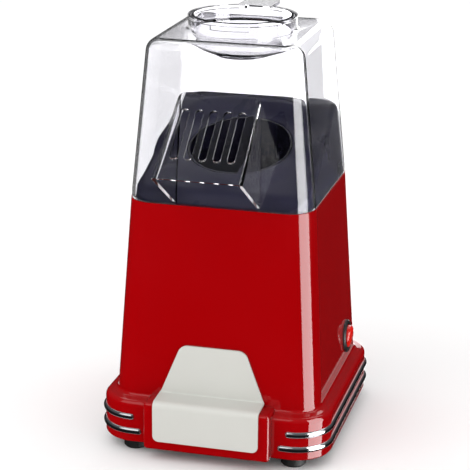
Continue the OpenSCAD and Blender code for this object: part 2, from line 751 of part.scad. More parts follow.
module fan() on_core() color("white") difference() {
    union() {
        translate([0, 0, hub_z]) cylinder(r = hub_r, h = hub_h);
        for (k = [0:blade_count - 1]) rotate([0, 0, 360 * k / blade_count])
            translate([blade_root, 0, hub_z + hub_h / 2]) rotate([blade_pitch, 0, 0])
                translate([0, -blade[1] / 2, -blade[2] / 2]) cube(blade);
    }
    translate([0, 0, hub_z - over]) cylinder(r = shaft_r + touch, h = hub_h + 2 * over);
}

module motor_shaft() on_core() color("silver") translate([0, 0, motor_z + 0.5])
    cylinder(r = shaft_r, h = shaft_l);

module armature() on_core() color("peru") difference() {
    union() {
        translate([0, 0, core_z]) cylinder(r = armature_r, h = armature_h);
        translate([0, 0, core_z - 4]) cylinder(r = 4, h = 4 + over);
    }
    translate([0, 0, motor_z]) cylinder(r = shaft_r + touch, h = 2 * armature_h);
    for (k = [0:pole_count - 1]) rotate([0, 0, 360 * k / pole_count])
        translate([armature_r / 2, -1, core_z - over])
            cube([armature_r, 2, armature_h + 2 * over]);
}

module motor_can() on_core() color("silver") difference() {
    translate([0, 0, motor_z]) cylinder(r = motor_r, h = fan_floor_z - motor_z - touch);
    translate([0, 0, motor_z - over]) cylinder(r = motor_r - 1, h = fan_floor_z - motor_z);
    cylinder(r = shaft_r + touch, h = 100);
    for (s = [-1, 1]) translate([s * mount_x, 0, fan_floor_z - 8]) cylinder(r = 1.3, h = 10);
}

module motor_magnets() on_core() color("darkgray") for (a = [30, 210])
    rotate([0, 0, a]) translate([0, 0, core_z - over]) rotate_extrude(angle = 120)
        translate([magnet_r, 0]) square([motor_r - 1 - touch - magnet_r, magnet_h]);

module motor_endcap() on_core() color("black") difference() {
    translate([0, 0, motor_z]) cylinder(r = motor_r - 1 - touch, h = 3);
    translate([0, 0, motor_z - over]) cylinder(r = shaft_r + touch, h = 5);
}

module motor_screws() on_core() color("silver") for (s = [-1, 1])
    translate([s * mount_x, 0, fan_floor_z + 2 + touch]) mirror([0, 0, 1])
        screw(1.25, 2.4, 1.4, 5);

// ---------------------------------------------------------------- electrics

module diode_board() on_core() color("seagreen") {
    translate([-13, -10, 16]) cube([26, 20, 1.6]);
    for (k = [0:3]) translate([-9 + 6 * k, -4, 14.4]) rotate([-90, 0, 0]) cylinder(r = 1.5, h = 8);
    for (s = [-1, 1]) translate([s * 8 - 0.4, -1.5, 17.5]) cube([0.8, 3, 4.4]);
}

block_at = [30, 54];

module terminal_block() on_axis() color("white") translate([block_at[0], block_at[1], 0])
    difference() {
        translate([-13, -5, plate_z + plate_h + touch]) cube([26, 10, 10]);
        for (k = [-1:1]) translate([8 * k, -6, 17]) rotate([-90, 0, 0]) cylinder(r = 1.9, h = 12);
    }

wire_r = 1.3;
wire_sides = 8;

// One ring of a lead, square to the way the lead runs there
function wire_ring(c, t) =
    let (u = unit(cross(t, [0.31, 0.17, 0.94])), v = cross(t, u))
    [for (k = [0:wire_sides - 1])
        let (a = 360 * k / wire_sides)
        c + wire_r * (u * cos(a) + v * sin(a))];

// A lead swept through its corner points
module lead(p) {
    m = len(p);
    polyhedron(
        [for (i = [0:m - 1]) each wire_ring(p[i], unit(p[min(i + 1, m - 1)] - p[max(i - 1, 0)]))],
        concat(skin(m, wire_sides, m - 2),
            [[for (j = [0:wire_sides - 1]) j],
                [for (j = [wire_sides - 1:-1:0]) (m - 1) * wire_sides + j]]));
}

module wiring() on_axis() color("crimson") {
    lead([[gland_x, 66, gland_z], [gland_x, 64, 18], [0, 64, 17], [22, 64, 17], [22, 59.6, 17]]);
    lead([[30, 59.6, 17], [30, 66, 17], [42, 68, 34], [47, 50, 48], [47, 31, 55]]);
    lead([[47, 26, 57], [44, 16, 80], [52, 8, 122], [52, -3, 124]]);
    lead([[22, 48.4, 17], [22, 36, 17], [10, 20, 14], [8, 8, 14]]);
    lead([[38, 48.4, 17], [40, 40, 30], [30, 54, 70], [-30, 54, 90], [-52, 6, 110],
        [-44.4, -3, 116.4]]);
}

housing();
badge_plate();
trim_upper_left();
trim_upper_right();
trim_lower_left();
trim_lower_right();
base_plate();
feet();
base_screws();
cord_gland();
switch_body();
switch_rocker();
top_cover();
measuring_cup();
deck();
deck_screws();
chamber_gasket();
chamber_sleeve();
popping_chamber();
heater_drum();
mica_frame();
heater_coil();
thermostat();
thermal_fuse();
tie_rods();
fan_housing();
fan();
motor_shaft();
armature();
motor_can();
motor_magnets();
motor_endcap();
motor_screws();
diode_board();
terminal_block();
wiring();
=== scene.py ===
# A small hot-air popcorn maker on a plain pale floor: leaning red housing, clear
# cover with a slotted chute, and a clear measuring cup in its neck.
import math
import bpy
from mathutils import Matrix, Vector


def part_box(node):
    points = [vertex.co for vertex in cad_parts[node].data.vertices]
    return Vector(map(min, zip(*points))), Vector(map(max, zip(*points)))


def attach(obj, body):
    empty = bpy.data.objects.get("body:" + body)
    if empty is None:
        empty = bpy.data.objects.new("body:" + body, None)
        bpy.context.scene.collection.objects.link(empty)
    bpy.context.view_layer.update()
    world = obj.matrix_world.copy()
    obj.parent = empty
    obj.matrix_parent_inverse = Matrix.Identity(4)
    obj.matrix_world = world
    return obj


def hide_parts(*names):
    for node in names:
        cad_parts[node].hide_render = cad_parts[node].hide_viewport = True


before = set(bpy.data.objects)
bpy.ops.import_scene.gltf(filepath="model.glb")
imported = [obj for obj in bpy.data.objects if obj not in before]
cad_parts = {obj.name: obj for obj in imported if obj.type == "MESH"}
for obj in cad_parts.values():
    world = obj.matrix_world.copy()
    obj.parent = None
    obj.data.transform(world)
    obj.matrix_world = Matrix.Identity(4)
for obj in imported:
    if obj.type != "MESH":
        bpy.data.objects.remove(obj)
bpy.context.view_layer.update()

# The centre line of the housing stands a little behind the origin, because the
# chute reaches forward. The hot-air stack inside has its own upright axis.
plate_low, plate_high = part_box("base_plate")
axis_y = (plate_low.y + plate_high.y) / 2
drum_low, drum_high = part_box("heater_drum")
core_y = (drum_low.y + drum_high.y) / 2
joint_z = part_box("housing")[1].z


# ---------------------------------------------------------------- studio
# A long lens from a little to the right of the front, looking slightly down.
camera_azimuth = math.radians(14.8)
camera_elevation = math.radians(17.8)
camera_roll = math.radians(0.45)
camera_distance = 1.1872
camera_target = Vector((-0.0038, axis_y - 0.001, 0.1343))
camera_lens = 132.5

camera_data = bpy.data.cameras.new("camera")
camera_data.lens = camera_lens
camera_data.sensor_width = 36
camera = bpy.data.objects.new("camera", camera_data)
bpy.context.scene.collection.objects.link(camera)
toward_camera = Vector((
    math.sin(camera_azimuth) * math.cos(camera_elevation),
    -math.cos(camera_azimuth) * math.cos(camera_elevation),
    math.sin(camera_elevation)))
camera.location = camera_target + camera_distance * toward_camera
aim = (-toward_camera).to_track_quat("-Z", "Y").to_matrix()
camera.rotation_euler = (aim @ Matrix.Rotation(camera_roll, 3, "Z")).to_euler()
bpy.context.scene.camera = camera
bpy.context.scene.view_settings.view_transform = "Standard"

# The room is white to the eye and through clear plastic. What is mirrored once sees
# it dim, black below the horizon and grey overhead, as from a tent with black boards.
world = bpy.data.worlds.new("room")
bpy.context.scene.world = world
world.use_nodes = True
room = world.node_tree
room.nodes.clear()
bright = room.nodes.new("ShaderNodeBackground")
bright.inputs["Color"].default_value = (1, 1, 1, 1)
bright.inputs["Strength"].default_value = 1.05
dim = room.nodes.new("ShaderNodeBackground")
dim.inputs["Color"].default_value = (0.92, 0.95, 1, 1)
gaze = room.nodes.new("ShaderNodeTexCoord")
height = room.nodes.new("ShaderNodeSeparateXYZ")
fade = room.nodes.new("ShaderNodeMapRange")
fade.inputs["To Min"].default_value = 0.012
fade.inputs["To Max"].default_value = 0.20
ray = room.nodes.new("ShaderNodeLightPath")
mirrored = room.nodes.new("ShaderNodeMath")
mirrored.operation = "COMPARE"
mirrored.inputs[1].default_value = 1
mirrored.inputs[2].default_value = 0.5
choice = room.nodes.new("ShaderNodeMixShader")
sky = room.nodes.new("ShaderNodeOutputWorld")
room.links.new(gaze.outputs["Generated"], height.inputs[0])
room.links.new(height.outputs["Z"], fade.inputs["Value"])
room.links.new(fade.outputs["Result"], dim.inputs["Strength"])
room.links.new(ray.outputs["Glossy Depth"], mirrored.inputs[0])
room.links.new(mirrored.outputs[0], choice.inputs["Fac"])
room.links.new(bright.outputs[0], choice.inputs[1])
room.links.new(dim.outputs[0], choice.inputs[2])
room.links.new(choice.outputs[0], sky.inputs["Surface"])


def panel(name, place, azimuth, tilt, width, height, radiance, lights_all=False):
    """A white panel that faces back along its azimuth. It lights matt faces too, or only
    shows mirrored and through clear plastic."""
    data = bpy.data.lights.new(name, "AREA")
    data.shape = "RECTANGLE"
    data.size = width
    data.size_y = height
    data.energy = radiance * math.pi * width * height
    light = bpy.data.objects.new(name, data)
    bpy.context.scene.collection.objects.link(light)
    a, e = math.radians(azimuth), math.radians(tilt)
    way = Vector((math.sin(a) * math.cos(e), -math.cos(a) * math.cos(e), math.sin(e)))
    light.location = place
    light.rotation_euler = (-way).to_track_quat("-Z", "Y").to_euler()
    light.visible_camera = False
    light.visible_diffuse = lights_all


panel("corner_card", (0.260, -0.1045, 0.09), 74, 0, 0.193, 0.44, 8.0)
panel("back_card", (-0.02, 1.0, 0.2), 180, 0, 0.24, 1.6, 2.5)
panel("key_panel", (-0.8, -1.1, 1.5), -36, 45, 1.4, 1.4, 1.2, lights_all=True)
panel("top_panel", (0, 0.7, 1.5), 180, 65, 1.8, 0.8, 1.5)

bpy.ops.mesh.primitive_plane_add(size=12, location=(0, 0, 0))
floor = bpy.context.object
floor.name = "floor"
floor.visible_glossy = False
floor_paint = bpy.data.materials.new("floor_paint")
floor_paint.use_nodes = True
floor_shader = floor_paint.node_tree.nodes["Principled BSDF"]
floor_shader.inputs["Base Color"].default_value = (0.97, 0.97, 0.97, 1)
floor_shader.inputs["Roughness"].default_value = 0.9
floor_shader.inputs["Specular IOR Level"].default_value = 0.1
floor_tree = floor_paint.node_tree

# Through clear plastic the floor is seen overexposed, and mirrored once it is dark.
seen = floor_tree.nodes.new("ShaderNodeLightPath")
look = floor_shader
for depth, radiance, test in (("Transmission Depth", 1.5, "MINIMUM"),
                              ("Glossy Depth", 0.012, "COMPARE")):
    shown = floor_tree.nodes.new("ShaderNodeEmission")
    shown.inputs["Strength"].default_value = radiance
    once = floor_tree.nodes.new("ShaderNodeMath")
    once.operation = test
    once.inputs[1].default_value = 1
    once.inputs[2].default_value = 0.5
    either = floor_tree.nodes.new("ShaderNodeMixShader")
    floor_tree.links.new(seen.outputs[depth], once.inputs[0])
    floor_tree.links.new(once.outputs[0], either.inputs["Fac"])
    floor_tree.links.new(look.outputs[0], either.inputs[1])
    floor_tree.links.new(shown.outputs[0], either.inputs[2])
    look = either
floor_tree.links.new(look.outputs[0], floor_tree.nodes["Material Output"].inputs["Surface"])
floor.data.materials.append(floor_paint)


# ---------------------------------------------------------------- housing
# One moulding of glossy red ABS: leaning walls on a wide skirt, with a boss at
# the front for the badge plate. It is a 2.5 mm shell, open at top and bottom.

def only(piece):
    """Leaves edit mode and selects this piece alone, or nothing."""
    if bpy.context.object and bpy.context.object.mode != "OBJECT":
        bpy.ops.object.mode_set(mode="OBJECT")
    bpy.ops.object.select_all(action="DESELECT")
    if piece:
        piece.select_set(True)
        bpy.context.view_layer.objects.active = piece


def settle(piece, name=None):
    """Puts the piece's place into its mesh, so that its object sits at the origin."""
    only(piece)
    bpy.ops.object.transform_apply(location=True, rotation=True, scale=True)
    if name:
        piece.name = name
        piece.data.name = name
    return piece


def change(piece, kind, **settings):
    """Adds one modifier with these settings and applies it."""
    only(piece)
    modifier = piece.modifiers.new(kind.lower(), kind)
    for key, value in settings.items():
        setattr(modifier, key, value)
    bpy.ops.object.modifier_apply(modifier=modifier.name)


def carve(piece, tool, operation="DIFFERENCE"):
    """Cuts the tool out of the piece, or joins it on, and drops the tool."""
    change(piece, "BOOLEAN", operation=operation, object=tool, solver="EXACT")
    bpy.data.objects.remove(tool)


def pick(piece, test, kind="vertices"):
    """In edit mode, selects the vertices or faces that pass the test."""
    bpy.ops.mesh.select_mode(type="FACE" if kind == "polygons" else "VERT")
    bpy.ops.mesh.select_all(action="DESELECT")
    bpy.ops.object.mode_set(mode="OBJECT")
    for part in getattr(piece.data, kind):
        part.select = test(part)
    bpy.ops.object.mode_set(mode="EDIT")


def plan_ring(half_w, half_d, corner, z, steps=14):
    """A flat rounded rectangle around the centre line, as a bare outline."""
    only(None)
    bpy.ops.mesh.primitive_plane_add(size=2, location=(0, axis_y, z))
    bpy.ops.object.mode_set(mode="EDIT")
    bpy.ops.transform.resize(value=(half_w, half_d, 1))
    bpy.ops.mesh.bevel(offset=corner, segments=steps, affect="VERTICES")
    bpy.ops.mesh.delete(type="ONLY_FACE")
    bpy.ops.object.mode_set(mode="OBJECT")
    return bpy.context.object


def round_ring(radius, z, count=60, y=axis_y):
    """A flat circle, as a bare outline."""
    only(None)
    bpy.ops.mesh.primitive_circle_add(vertices=count, radius=radius, location=(0, y, z))
    return bpy.context.object


def bridge(rings, name, caps=False):
    """Joins outlines into one piece and bridges each to the next."""
    for number, outline in enumerate(rings):
        group = outline.vertex_groups.new(name=f"ring{number}")
        group.add(range(len(outline.data.vertices)), 1, "REPLACE")
    only(rings[0])
    for outline in rings:
        outline.select_set(True)
    bpy.ops.object.join()
    piece = settle(bpy.context.object, name)
    bpy.ops.object.mode_set(mode="EDIT")
    bpy.ops.mesh.select_mode(type="VERT")
    pairs = [(k, k + 1) for k in range(len(rings) - 1)]
    for pair in pairs + ([(0,), (len(rings) - 1,)] if caps else []):
        bpy.ops.mesh.select_all(action="DESELECT")
        for k in pair:
            bpy.ops.object.vertex_group_set_active(group=f"ring{k}")
            bpy.ops.object.vertex_group_select()
        if len(pair) == 2:
            bpy.ops.mesh.bridge_edge_loops()
        else:
            bpy.ops.mesh.edge_face_add()
    bpy.ops.mesh.select_all(action="SELECT")
    bpy.ops.mesh.normals_make_consistent(inside=False)
    bpy.ops.object.mode_set(mode="OBJECT")
    piece.vertex_groups.clear()
    return piece


def soften(piece, width=0.0, angle=35, segments=2):
    """Breaks the sharp edges and shades the rest smooth, flats staying flat."""
    if width:
        change(piece, "BEVEL", width=width, segments=segments, limit_method="ANGLE",
               angle_limit=math.radians(angle), harden_normals=False)
    only(piece)
    bpy.ops.object.shade_smooth_by_angle(angle=math.radians(angle))
    change(piece, "WEIGHTED_NORMAL", weight=80, keep_sharp=True)


skirt_half = (0.0785, 0.0798)
skirt_corner = 0.024
skirt_bottom = 0.008
skirt_top = 0.0375
skirt_edge = 0.004
foot_half = (0.0705, 0.0710)
foot_corner = 0.018
foot_z = 0.0412
fillet = 0.003
top_half = (0.0625, 0.0633)
top_corner = 0.0177
shell_wall = 0.0025
skirt_break = 0.0008


def wall_at(z):
    """Half width, half depth and corner of the housing's leaning wall at a height."""
    t = (z - foot_z) / (joint_z - foot_z)
    return [a + (b - a) * t for a, b in
            zip((*foot_half, foot_corner), (*top_half, top_corner))]


housing_rings = [plan_ring(skirt_half[0] - skirt_break, skirt_half[1] - skirt_break,
                           skirt_corner - skirt_break, skirt_bottom),
                 plan_ring(*skirt_half, skirt_corner, skirt_bottom + 0.0010)]
for k in range(7):
    a = math.radians(90 * k / 6)
    inset = skirt_edge * (1 - math.cos(a))
    housing_rings.append(plan_ring(skirt_half[0] - inset, skirt_half[1] - inset,
                                   skirt_corner - inset,
                                   skirt_top - skirt_edge * (1 - math.sin(a))))
for k in range(6):
    a = math.radians(90 * k / 5)
    out = fillet * (1 - math.sin(a))
    housing_rings.append(plan_ring(foot_half[0] + out, foot_half[1] + out, foot_corner + out,
                                   skirt_top + 0.0005 + fillet * (1 - math.cos(a))))
housing_rings.append(plan_ring(*top_half, top_corner, joint_z))
housing = bridge(housing_rings, "red_housing")
change(housing, "SOLIDIFY", thickness=shell_wall, offset=-1, use_even_offset=True)

boss_half = 0.043
boss_front = axis_y - 0.0885
boss_deep = 0.0102
boss_shoulder_z = 0.0365
boss_back_reach = 0.0085
boss_top = 0.041
bpy.ops.mesh.primitive_cube_add(size=1)
boss = bpy.context.object
boss.scale = (2 * boss_half, boss_deep, boss_top - skirt_bottom)
boss.location = (0, boss_front + boss_deep / 2, (boss_top + skirt_bottom) / 2)
settle(boss, "boss")
bpy.ops.object.mode_set(mode="EDIT")
bpy.ops.mesh.select_all(action="SELECT")
bpy.ops.mesh.bisect(plane_co=(0, 0, boss_shoulder_z), plane_no=(0, 0, 1))
pick(boss, lambda f: f.normal.y > 0.9 and f.center.z > boss_shoulder_z, "polygons")
bpy.ops.mesh.extrude_region_move(TRANSFORM_OT_translate={"value": (0, boss_back_reach, 0)})
bpy.ops.object.mode_set(mode="OBJECT")
change(boss, "BEVEL", width=0.003, segments=5, limit_method="ANGLE",
       angle_limit=math.radians(60))
carve(housing, boss, "UNION")

switch_low, switch_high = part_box("switch_body")
switch_y = (switch_low.y + switch_high.y) / 2
switch_z = 0.0565
switch_hole_radius = 0.010
gland_hole_radius = 0.00705
hole_cut = 0.02
wall_lean = math.atan((foot_half[0] - top_half[0]) / (joint_z - foot_z))
switch_turn = Matrix.Rotation(math.pi / 2 - wall_lean, 4, "Y")
switch_place = Matrix.Translation((wall_at(switch_z)[0], switch_y, switch_z)) @ switch_turn
bpy.ops.mesh.primitive_cylinder_add(vertices=64, radius=switch_hole_radius, depth=hole_cut)
switch_hole = bpy.context.object
switch_hole.matrix_world = switch_place
carve(housing, settle(switch_hole))
gland_low, gland_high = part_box("cord_gland")
gland_place = ((gland_low.x + gland_high.x) / 2, gland_high.y, (gland_low.z + gland_high.z) / 2)
bpy.ops.mesh.primitive_cylinder_add(vertices=64, radius=gland_hole_radius, depth=hole_cut,
                                    location=gland_place, rotation=(math.pi / 2, 0, 0))
carve(housing, settle(bpy.context.object))
soften(housing, 0.0003, 50)


def noise_group(name, fine, coarse, detail):
    """A pattern for plastics and metals: fine height for the bump, coarse mask for handling."""
    group = bpy.data.node_groups.new(name, "ShaderNodeTree")
    for label in ("Height", "Mask"):
        group.interface.new_socket(label, in_out="OUTPUT", socket_type="NodeSocketFloat")
    place = group.nodes.new("ShaderNodeTexCoord")
    end = group.nodes.new("NodeGroupOutput")
    for label, scale in (("Height", fine), ("Mask", coarse)):
        noise = group.nodes.new("ShaderNodeTexNoise")
        noise.inputs["Scale"].default_value = scale
        noise.inputs["Detail"].default_value = detail
        group.links.new(place.outputs["Object"], noise.inputs["Vector"])
        group.links.new(noise.outputs["Fac"], end.inputs[label])
    return group


def wear_group():
    """A mask that is bright along convex edges, where hands and cloths rub."""
    group = bpy.data.node_groups.new("edge_wear", "ShaderNodeTree")
    group.interface.new_socket("Mask", in_out="OUTPUT", socket_type="NodeSocketFloat")
    end = group.nodes.new("NodeGroupOutput")
    shape = group.nodes.new("ShaderNodeNewGeometry")
    ramp = group.nodes.new("ShaderNodeMapRange")
    ramp.inputs["From Min"].default_value = 0.53
    ramp.inputs["From Max"].default_value = 0.62
    group.links.new(shape.outputs["Pointiness"], ramp.inputs["Value"])
    group.links.new(ramp.outputs["Result"], end.inputs["Mask"])
    return group


polish = noise_group("polish", 900, 14, 2)
grain = noise_group("grain", 2600, 30, 4)
wear = wear_group()


def finish(name, colour, tint, rough, pattern=polish, bump=0.02, metallic=0.0, worn=0.0, **plain):
    """A material whose colour and gloss drift with the pattern and lighten along worn edges.
    colour and tint are its two shades, rough its lowest and highest roughness."""
    material = bpy.data.materials.new(name)
    material.use_nodes = True
    tree = material.node_tree
    shader = tree.nodes["Principled BSDF"]
    texture = tree.nodes.new("ShaderNodeGroup")
    texture.node_tree = pattern
    edges = tree.nodes.new("ShaderNodeGroup")
    edges.node_tree = wear
    shade = tree.nodes.new("ShaderNodeMix")
    shade.data_type = "RGBA"
    shade.inputs["A"].default_value = (*colour, 1)
    shade.inputs["B"].default_value = (*tint, 1)
    tree.links.new(texture.outputs["Mask"], shade.inputs["Factor"])
    rub = tree.nodes.new("ShaderNodeMix")
    rub.data_type = "RGBA"
    rub.inputs["B"].default_value = (*[min(1, c * 1.5 + 0.03) for c in tint], 1)
    amount = tree.nodes.new("ShaderNodeMath")
    amount.operation = "MULTIPLY"
    amount.inputs[1].default_value = worn
    tree.links.new(edges.outputs["Mask"], amount.inputs[0])
    tree.links.new(amount.outputs[0], rub.inputs["Factor"])
    tree.links.new(shade.outputs["Result"], rub.inputs["A"])
    tree.links.new(rub.outputs["Result"], shader.inputs["Base Color"])
    gloss = tree.nodes.new("ShaderNodeMapRange")
    gloss.inputs["From Min"].default_value = 0.3
    gloss.inputs["From Max"].default_value = 0.7
    gloss.inputs["To Min"].default_value = rough[0]
    gloss.inputs["To Max"].default_value = rough[1]
    tree.links.new(texture.outputs["Mask"], gloss.inputs["Value"])
    tree.links.new(gloss.outputs["Result"], shader.inputs["Roughness"])
    relief = tree.nodes.new("ShaderNodeBump")
    relief.inputs["Strength"].default_value = bump
    relief.inputs["Distance"].default_value = 0.0002
    tree.links.new(texture.outputs["Height"], relief.inputs["Height"])
    tree.links.new(relief.outputs["Normal"], shader.inputs["Normal"])
    shader.inputs["Metallic"].default_value = metallic
    for socket, value in plain.items():
        shader.inputs[socket.replace("_", " ")].default_value = value
    return material


def dress(piece, material):
    piece.data.materials.clear()
    piece.data.materials.append(material)


red = finish("red_gloss", (0.335, 0.0, 0.001), (0.36, 0.0003, 0.002), (0.04, 0.08), worn=0.2)
dress(housing, red)
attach(housing, "base")
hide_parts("housing")


# ---------------------------------------------------------------- badge plate
# A bent strip of cream plastic with a blank face. It is clipped to the leaning
# wall, runs forward over the boss and hangs down over the boss's front.
plate_thick = 0.0018
plate_gap = 0.0001
badge_low, badge_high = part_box("badge_plate")
plate_route = [
    Vector((boss_front - plate_gap, badge_low.z)),
    Vector((boss_front - plate_gap, boss_top + 0.0002)),
    Vector((axis_y - wall_at(boss_top)[1] - 0.0005, boss_top + 0.0012)),
    Vector((axis_y - wall_at(badge_high.z)[1] - plate_gap, badge_high.z))]
bend_radius = 0.0028               # half the length over which a bend is rounded
lengths = [(b - a).length for a, b in zip(plate_route, plate_route[1:])]
bends = [lengths[0], lengths[0] + lengths[1]]
flat_top = sum(lengths)


def along_plate(s):
    """Depth and height of the point at a length s up the plate, with rounded bends."""
    def sharp(t):
        t = min(max(t, 0), flat_top)
        for a, b, run in zip(plate_route, plate_route[1:], lengths):
            if t <= run + 1e-9:
                return a.lerp(b, t / run)
            t -= run
        return plate_route[-1]
    steps = 8
    if min(abs(s - at) for at in bends) > bend_radius:
        return sharp(s)
    points = [sharp(s + bend_radius * (2 * (k + 0.5) / steps - 1)) for k in range(steps)]
    return sum(points, Vector((0, 0))) / steps


only(None)
bpy.ops.mesh.primitive_plane_add(size=2)
plate = bpy.context.object
plate_half = badge_high.x
plate_half_top = 0.022
plate_top_corner = 0.0045
plate_bottom_corner = 0.004
bpy.ops.object.mode_set(mode="EDIT")
bpy.ops.transform.resize(value=(plate_half, flat_top / 2, 1))
bpy.ops.transform.translate(value=(0, flat_top / 2, 0))
bpy.ops.mesh.bisect(plane_co=(0, bends[1], 0), plane_no=(0, 1, 0))
pick(plate, lambda v: v.co.y > flat_top - 0.001)
bpy.ops.transform.resize(value=(plate_half_top / plate_half, 1, 1), center_override=(0, flat_top, 0))
bpy.ops.mesh.bevel(offset=plate_top_corner, segments=8, affect="VERTICES")
pick(plate, lambda v: v.co.y < 0.001)
bpy.ops.mesh.bevel(offset=plate_bottom_corner, segments=8, affect="VERTICES")
for at in bends:
    for k in range(-6, 7):
        bpy.ops.mesh.select_all(action="SELECT")
        bpy.ops.mesh.bisect(plane_co=(0, at + bend_radius * 1.1 * k / 6, 0), plane_no=(0, 1, 0))
bpy.ops.object.mode_set(mode="OBJECT")
for v in plate.data.vertices:
    place = along_plate(v.co.y)
    v.co = (v.co.x, place.x, place.y)
settle(plate, "badge")
bpy.ops.object.mode_set(mode="EDIT")
bpy.ops.mesh.select_all(action="SELECT")
bpy.ops.mesh.normals_make_consistent(inside=False)
bpy.ops.object.mode_set(mode="OBJECT")
if plate.data.polygons[0].normal.y > 0 or sum(p.normal.y for p in plate.data.polygons) > 0:
    plate.data.flip_normals()
change(plate, "SOLIDIFY", thickness=plate_thick, offset=1, use_even_offset=True)
soften(plate, 0.0004, 50)
dress(plate, finish("cream_satin", (0.60, 0.60, 0.56), (0.64, 0.64, 0.60), (0.28, 0.36),
                    pattern=grain, bump=0.05, worn=0.1))
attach(plate, "base")
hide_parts("badge_plate")


# ---------------------------------------------------------------- deck
# The slate-black insert under the cover, moulded in heat-proof plastic. Its top
# slopes down to the front edge and dips into a round mouth over the chamber.
deck_foot_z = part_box("deck")[0].z
throat_radius = 0.0355
cover_wall = 0.002
cover_top_z = 0.278
cover_top_half = (0.052, 0.056)
cover_top_corner = 0.0133


def cover_at(z):
    """Half width, half depth and corner of the cover's outer face at a height."""
    t = (z - joint_z) / (cover_top_z - joint_z)
    return [a + (b - a) * t for a, b in
            zip((*top_half, top_corner), (*cover_top_half, cover_top_corner))]


def ease(t):
    """A smooth step from 0 to 1."""
    t = min(max(t, 0), 1)
    return t * t * (3 - 2 * t)


side_line = [(-0.062, 0.172), (-0.0575, 0.177), (-0.054, 0.1805), (-0.0185, 0.195),
             (-0.009, 0.204), (0.014, 0.209), (0.031, 0.2195), (0.036, 0.221), (0.07, 0.221)]
mouth_slope = math.tan(math.radians(17))
mouth_z = 0.1995
mouth_blend = 0.016
bend_step = 0.0006
deck_gap = 0.0008
core_back = core_y - axis_y


def side_height(y):
    """Height of the deck's flank, from its side view, with the bends eased."""
    total = 0
    for k in range(-4, 5):
        at = y + bend_step * k
        z = side_line[-1][1]
        for (y0, z0), (y1, z1) in zip(side_line, side_line[1:]):
            if at <= y1:
                z = z0 + (z1 - z0) * max(0, (at - y0) / (y1 - y0))
                break
        total += z
    return total / 9


def deck_height(x, y):
    """Height of the deck's top: the mouth's slanting plane blends into the flanks."""
    reach = math.hypot(x, y - core_back) - throat_radius
    mouth = mouth_z + mouth_slope * (y - core_back)
    return mouth + (side_height(y) - mouth) * ease(reach / mouth_blend)


def deck_outline(share, inset=0.0, drop=0.0, level=None, radius=None):
    """An outline of the deck, share of the way from its wall to the mouth's circle."""
    full_w, full_d, corner = [v - cover_wall - deck_gap for v in cover_at(joint_z)]
    outline = plan_ring(full_w, full_d, corner, 0, 8)
    bpy.ops.object.mode_set(mode="EDIT")
    bpy.ops.mesh.select_mode(type="EDGE")
    bpy.ops.mesh.select_all(action="DESELECT")
    bpy.ops.object.mode_set(mode="OBJECT")
    dots = outline.data.vertices
    for e in outline.data.edges:
        e.select = (dots[e.vertices[0]].co - dots[e.vertices[1]].co).length > 0.03
    bpy.ops.object.mode_set(mode="EDIT")
    bpy.ops.mesh.subdivide(number_cuts=22)
    bpy.ops.object.mode_set(mode="OBJECT")
    for v in outline.data.vertices:
        u, w = v.co.x / full_w, v.co.y / full_d
        top = level if level and not share else side_height(w * full_d)
        half_w, half_d = [c - cover_wall - deck_gap - inset for c in cover_at(top)[:2]]
        spot = Vector((u * half_w, w * half_d))
        core = Vector((0, core_back))
        ring = core + (spot - core).normalized() * (radius or throat_radius)
        spot = spot.lerp(ring, share)
        front = ease((spot.y + 0.058) / 0.02)
        z = level or deck_height(*spot) - drop * (0.35 + 0.65 * front)
        v.co = (spot.x, spot.y, z)
    return outline


deck_edge = 0.005
deck_wall = 0.0012
throat_foot_z = 0.182
deck_rings = [deck_outline(0, level=deck_foot_z)]
for k in range(7):
    a = math.radians(90 * k / 6)
    deck_rings.append(deck_outline(0, deck_edge * (1 - math.cos(a)), deck_edge * (1 - math.sin(a))))
for k in range(1, 17):
    deck_rings.append(deck_outline(k / 17.5, deck_edge))
rim_edge = 0.0013
for k in range(5):
    a = math.radians(90 * k / 4)
    deck_rings.append(deck_outline(1, deck_edge, rim_edge * (1 - math.cos(a)),
                                   radius=throat_radius + rim_edge * (1 - math.sin(a))))
deck_rings.append(deck_outline(1, deck_edge, level=throat_foot_z))
deck = bridge(deck_rings, "deck_top")
change(deck, "SOLIDIFY", thickness=deck_wall, offset=-1, use_even_offset=True)
soften(deck, 0, 40)
slate = finish("slate_plastic", (0.019, 0.0185, 0.036), (0.023, 0.022, 0.043), (0.25, 0.35),
               pattern=grain, bump=0.06, worn=0.15, Specular_IOR_Level=0.15)
dress(deck, slate)
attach(deck, "base")
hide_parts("deck")


# ---------------------------------------------------------------- clear cover
# One moulding of clear polycarbonate, 2 mm thick: a tapering box with a round
# filling neck and, on its front, a sloping chute with five slots in its roof.
cover_low_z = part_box("top_cover")[0].z
neck_top_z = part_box("top_cover")[1].z
cover_edge = 0.008
neck_radius = 0.0363
neck_fillet = 0.002
hair = 0.00005                     # rings in one plane stand this far apart, to bridge well
rim_inset = 0.0004
rim_top_z = cover_low_z + 0.0045
rim_blend_z = cover_low_z + 0.0065
half_w, half_d, corner = cover_at(cover_low_z)
cover_rings = [plan_ring(half_w - rim_inset, half_d - rim_inset, corner, cover_low_z),
               plan_ring(half_w - rim_inset, half_d - rim_inset, corner, rim_top_z),
               plan_ring(*cover_at(rim_blend_z), rim_blend_z)]
for k in range(9):
    a = math.radians(90 * k / 8)
    inset = cover_edge * (1 - math.cos(a))
    z = cover_top_z - cover_edge * (1 - math.sin(a))
    half_w, half_d, corner = cover_at(z)
    cover_rings.append(plan_ring(half_w - inset, half_d - inset, corner - inset * 0.9, z))
for k in range(4):
    a = math.radians(90 * k / 3)
    cover_rings.append(round_ring(neck_radius + neck_fillet * (1 - math.sin(a)),
                                  cover_top_z + hair + neck_fillet * (1 - math.cos(a))))
cover_rings.append(round_ring(neck_radius, neck_top_z))
